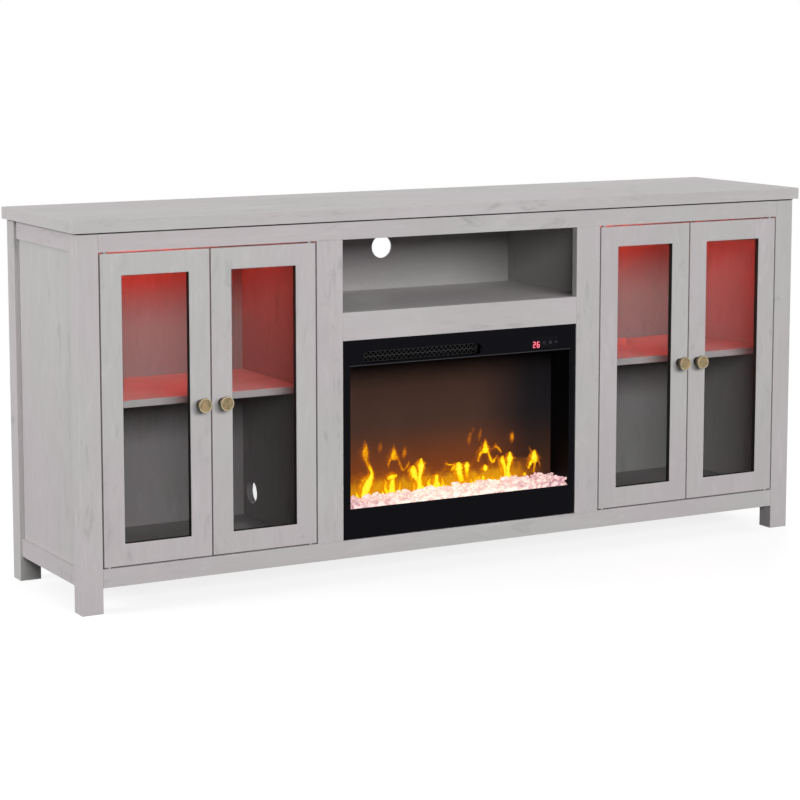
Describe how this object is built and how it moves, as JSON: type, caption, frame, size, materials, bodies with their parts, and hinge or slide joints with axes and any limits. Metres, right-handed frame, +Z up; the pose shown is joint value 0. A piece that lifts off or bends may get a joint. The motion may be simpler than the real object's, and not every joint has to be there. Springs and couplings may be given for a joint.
{
  "type": "fireplace tv stand",
  "caption": "Long low media cabinet with glass doors at both ends, an open niche and an electric fireplace insert with a turning flame spindle.",
  "frame": {"origin": "on the floor, under the middle of the object's box", "axes": "+Z up, +X to the right as seen from the front, the front faces -Y"},
  "size_m": [1.778, 0.417, 0.792],
  "materials": {
    "laminate": "pale grey wood-grain laminate, satin",
    "board": "pale grey laminate inside, satin",
    "door_glass": "clear",
    "insert_glass": "clear, slightly smoked",
    "brass": "antique, brushed",
    "steel": "brushed",
    "black_metal": "black powder coat, satin",
    "black_plastic": "black, glossy",
    "screen": "translucent screen, satin",
    "crystal": "clear broken glass",
    "red_light": "frosted cover, lit red",
    "aluminium": "bare"
  },
  "bodies": {
    "cabinet": {"tabletop": "laminate", "leg_front_left": "laminate", "leg_front_right": "laminate", "leg_back_left": "laminate", "leg_back_right": "laminate", "front_top_rail": "laminate", "front_bottom_rail": "laminate", "centre_stile_left": "laminate", "centre_stile_right": "laminate", "centre_rail": "laminate", "side_top_rail_left": "laminate", "side_top_rail_right": "laminate", "side_bottom_rail_left": "laminate", "side_bottom_rail_right": "laminate", "side_panel_left": "laminate", "side_panel_right": "laminate", "back_bottom_rail": "board", "divider_left": "board", "divider_right": "board", "bottom_panel": "board", "niche_shelf": "board", "cabinet_shelf_left": "board", "cabinet_shelf_right": "board", "back_panel_left": "board", "back_panel_right": "board", "back_panel_niche": "board", "led_strip_left": "red_light", "led_strip_right": "red_light", "insert_case": "black_metal", "insert_front_frame": "black_metal", "insert_glass": "insert_glass", "control_panel": "black_plastic", "flame_screen": "screen", "crystal_bed": "crystal", "heater_element": "aluminium", "blower_motor": "steel", "spindle_motor": "steel", "mains_inlet": "black_plastic"},
    "door_left_outer": {"door_left_outer_frame": "laminate", "door_left_outer_glass": "door_glass", "door_left_outer_knob": "brass", "door_left_outer_pin_top": "steel", "door_left_outer_pin_bottom": "steel"},
    "door_left_inner": {"door_left_inner_frame": "laminate", "door_left_inner_glass": "door_glass", "door_left_inner_knob": "brass", "door_left_inner_pin_top": "steel", "door_left_inner_pin_bottom": "steel"},
    "door_right_inner": {"door_right_inner_frame": "laminate", "door_right_inner_glass": "door_glass", "door_right_inner_knob": "brass", "door_right_inner_pin_top": "steel", "door_right_inner_pin_bottom": "steel"},
    "door_right_outer": {"door_right_outer_frame": "laminate", "door_right_outer_glass": "door_glass", "door_right_outer_knob": "brass", "door_right_outer_pin_top": "steel", "door_right_outer_pin_bottom": "steel"},
    "blower": {"blower_wheel": "black_plastic"},
    "flicker": {"flame_spindle": "aluminium"}
  },
  "joints": [
    {"name": "door_left_outer_hinge", "type": "hinge", "parent": "cabinet", "child": "door_left_outer", "pos_m": [-0.8175, -0.1755, 0.09], "axis": [0, 0, -1], "range_deg": [0, 105]},
    {"name": "door_left_inner_hinge", "type": "hinge", "parent": "cabinet", "child": "door_left_inner", "pos_m": [-0.365, -0.1755, 0.09], "axis": [0, 0, 1], "range_deg": [0, 105]},
    {"name": "door_right_inner_hinge", "type": "hinge", "parent": "cabinet", "child": "door_right_inner", "pos_m": [0.365, -0.1755, 0.09], "axis": [0, 0, -1], "range_deg": [0, 105]},
    {"name": "door_right_outer_hinge", "type": "hinge", "parent": "cabinet", "child": "door_right_outer", "pos_m": [0.8175, -0.1755, 0.09], "axis": [0, 0, 1], "range_deg": [0, 105]},
    {"name": "blower_spin", "type": "hinge", "parent": "cabinet", "child": "blower", "pos_m": [-0.1, -0.1075, 0.487], "axis": [1, 0, 0], "continuous": true},
    {"name": "flicker_spin", "type": "hinge", "parent": "cabinet", "child": "flicker", "pos_m": [0, -0.0675, 0.177], "axis": [1, 0, 0], "continuous": true}
  ]
}
